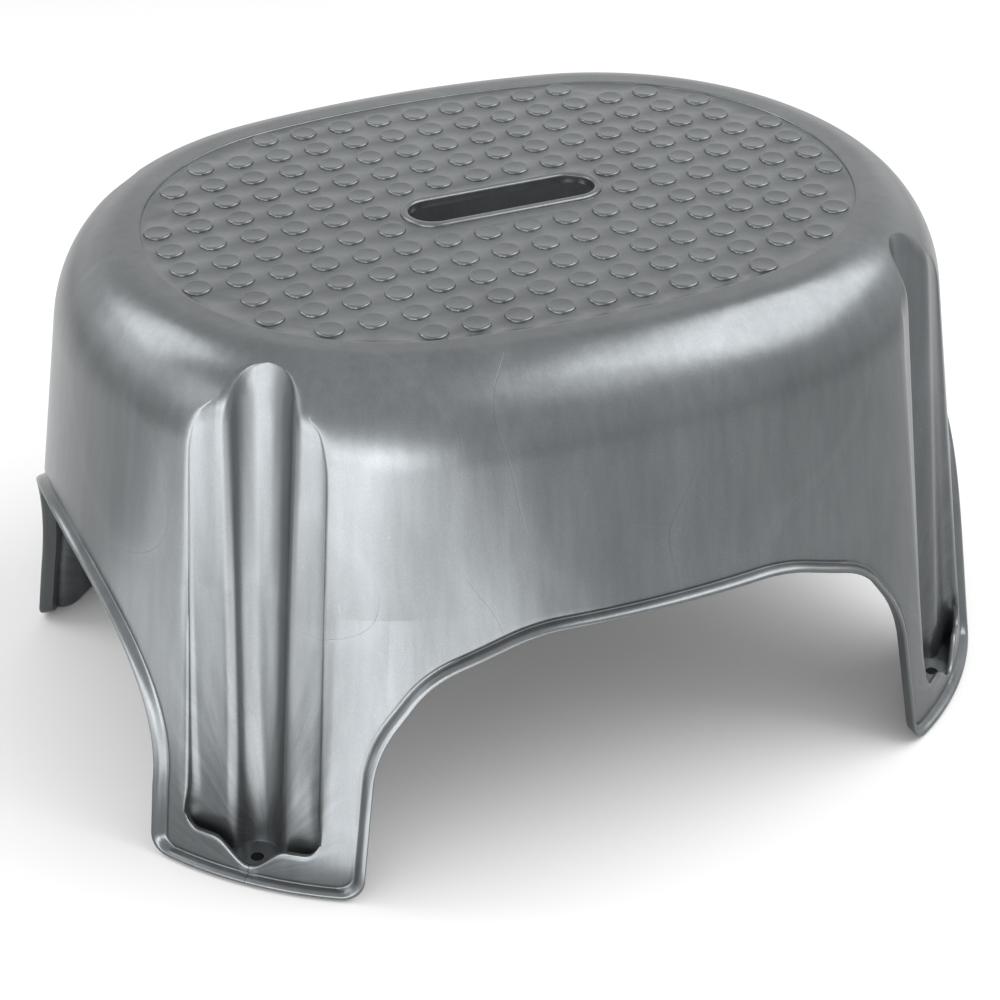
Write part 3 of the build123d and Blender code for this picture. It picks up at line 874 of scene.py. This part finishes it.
def silver_plastic():
    """Silver-grey moulded plastic: flake, faint upright flow streaks, weld lines, fans at the feet, and
    painted light on the floor disc round each foot.
    """
    g = Graph("silver_plastic", Metallic=0.85)
    place = g.add("ShaderNodeTexCoord", {})["Object"]
    height = g.vector("DOT_PRODUCT", place, (0, 0, 1))
    streaks = g.noise(g.vector("MULTIPLY", place, (230, 230, 9)), 1.0, 3.0)
    broad = g.noise(g.vector("MULTIPLY", place, (40, 40, 7)), 1.0, 2.0)
    cloud = g.noise(place, 16.0, 3.0)
    flake = g.noise(place, 2600.0, 0.0)
    across, outward = leg_axes(g, place)
    weld, swirl = weld_lines(g, place)
    fan, flow = foot_fan(g, across, outward, height)
    rings, painted_disc_light, seam = floor_marks_and_painted_light(g, across, outward, height)
    scratch = scratches(g, place)

    line = g.math("ADD", weld, g.math("MULTIPLY", flow, 0.6))
    # The disc factor is painted light on the floor discs; the other factors are the plastic's own tone and
    # marks.
    tone = g.product(g.remap(streaks, 0.3, 0.7, 0.955, 1.045), g.remap(broad, 0.3, 0.7, 0.94, 1.06),
                     g.remap(cloud, 0.3, 0.7, 0.95, 1.05), g.remap(flake, 0.25, 0.75, 0.93, 1.07),
                     swirl, fan, painted_disc_light,
                     g.math("SUBTRACT", 1.0, g.math("MULTIPLY", line, 0.17)),
                     g.math("SUBTRACT", 1.0, g.math("MULTIPLY", seam, 0.6)),
                     g.math("ADD", 1.0, g.math("MULTIPLY", scratch, 0.35)))
    rough = g.math("ADD", g.remap(cloud, 0.3, 0.7, 0.275, 0.315), g.math("MULTIPLY", scratch, 0.15))
    coarse = g.bump(g.math("ADD", streaks, g.math("MULTIPLY", broad, 3.0)), 0.00006)
    fine = g.bump(flake, 0.0000045, coarse)
    sunk = g.math("ADD", g.math("ADD", weld, seam), scratch)
    marks = g.math("SUBTRACT", g.math("MULTIPLY", rings, 0.5), sunk)
    g.set(Base_Color=g.scale((0.098, 0.105, 0.109), tone), Roughness=rough,
          Normal=g.bump(marks, 0.00002, fine))
    return g.material


def black_rubber():
    """Soft matt rubber with a fine grain."""
    g = Graph("black_rubber", Specular_IOR_Level=0.1)
    place = g.add("ShaderNodeTexCoord", {})["Object"]
    grain = g.noise(place, 900.0, 2.0)
    tone = g.remap(g.noise(place, 120.0), 0.3, 0.7, 0.75, 1.35)
    g.set(Base_Color=g.scale((0.005, 0.005, 0.0055), tone), Roughness=g.remap(grain, 0.3, 0.7, 0.75, 0.92),
          Normal=g.bump(grain, 0.00002))
    return g.material


shell.data.materials.append(silver_plastic())
rubber = black_rubber()
for name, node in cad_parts.items():
    if name.startswith("foot"):
        node.data.materials.clear()
        node.data.materials.append(rubber)

# ---------------------------------------------------------------- stage
floor_mesh = bpy.data.meshes.new("floor")
reach = 6
corners = [(-reach, -reach, 0), (reach, -reach, 0), (reach, reach, 0), (-reach, reach, 0)]
floor_mesh.from_pydata(corners, [], [(0, 1, 2, 3)])
floor = bpy.data.objects.new("floor", floor_mesh)
bpy.context.scene.collection.objects.link(floor)
floor_mesh.materials.append(plain("floor", (0.50, 0.50, 0.50), 0.9))

world = bpy.data.worlds.new("studio")
bpy.context.scene.world = world
world.use_nodes = True
background = world.node_tree.nodes["Background"]
background.inputs["Color"].default_value = (1, 1, 1, 1)
background.inputs["Strength"].default_value = 1.3


SHOT_HEIGHT, PANEL_HEIGHT = 0.12, 0.004


def area_light(name, place, target, size, radiance):
    """Rectangular light at place facing target, which the camera does not see."""
    data = bpy.data.lights.new(name, "AREA")
    data.shape = "RECTANGLE"
    data.size, data.size_y = size
    data.energy = radiance * math.pi * size[0] * size[1]
    obj = bpy.data.objects.new(name, data)
    obj.location = place
    obj.rotation_euler = (Vector(target) - Vector(place)).to_track_quat("-Z", "Y").to_euler()
    obj.visible_camera = False
    bpy.context.scene.collection.objects.link(obj)
    return obj


def softbox(name, azimuth, elevation, distance, size, radiance):
    """Rectangular softbox seen from the stool's middle in a direction given in degrees."""
    a, e = math.radians(azimuth), math.radians(elevation)
    middle = Vector((0, 0, SHOT_HEIGHT))
    place = middle + distance * Vector((math.cos(e) * math.cos(a), math.cos(e) * math.sin(a), math.sin(e)))
    area_light(name, place, middle, size, radiance)


def floor_panel(name, azimuth, distance, size, radiance):
    """Panel lying face up on the floor: size is (toward the stool, across)."""
    a = math.radians(azimuth)
    place = (distance * math.cos(a), distance * math.sin(a), PANEL_HEIGHT)
    panel = area_light(name, place, (0, 0, 1), size, radiance)
    panel.rotation_euler = (math.pi, 0, a)


softbox("front_strip", -141, 2, 1.2, (1.2, 0.30), 4.2)
softbox("front_strip_high", -138, 9, 1.2, (1.0, 0.30), 5.2)
softbox("front_strip_right", -112, 2, 1.2, (0.45, 0.30), 6.6)
floor_panel("front_glow_far", -141, 0.98, (0.32, 0.75), 10.3)
floor_panel("front_glow_middle", -141, 0.68, (0.28, 0.55), 5.2)
floor_panel("front_glow_near", -141, 0.41, (0.26, 0.40), 0.6)
floor_panel("left_glow_far", -170, 0.80, (0.40, 0.50), 1.1)
floor_panel("left_glow_near", -170, 0.45, (0.30, 0.30), 2.0)
floor_panel("right_glow_far", -111, 0.70, (0.38, 0.40), 2.8)
floor_panel("right_glow_near", -111, 0.36, (0.30, 0.30), 4.8)
softbox("right_high", -22, 48, 1.3, (1.2, 0.9), 5.9)
softbox("right_front", -66, 44, 1.3, (0.6, 0.5), 2.0)
softbox("back_left", 144, 40, 1.3, (0.6, 0.6), 5.0)
softbox("back_left_low", 150, 22, 1.2, (0.6, 0.4), 1.8)
softbox("left", -176, 22, 1.2, (0.6, 0.4), 2.3)
bpy.context.scene.view_settings.view_transform = "Standard"

# Lens, place and aim solved from the picture's perspective.
camera_data = bpy.data.cameras.new("camera")
camera_data.lens = 89.26
camera_data.sensor_width = 36
camera = bpy.data.objects.new("camera", camera_data)
camera.location = (-0.38621, -0.88150, 0.67246)
camera.rotation_mode = "QUATERNION"
camera.rotation_quaternion = Vector((0.3395, 0.7768, -0.5305)).to_track_quat("-Z", "Y")
bpy.context.scene.collection.objects.link(camera)
bpy.context.scene.camera = camera
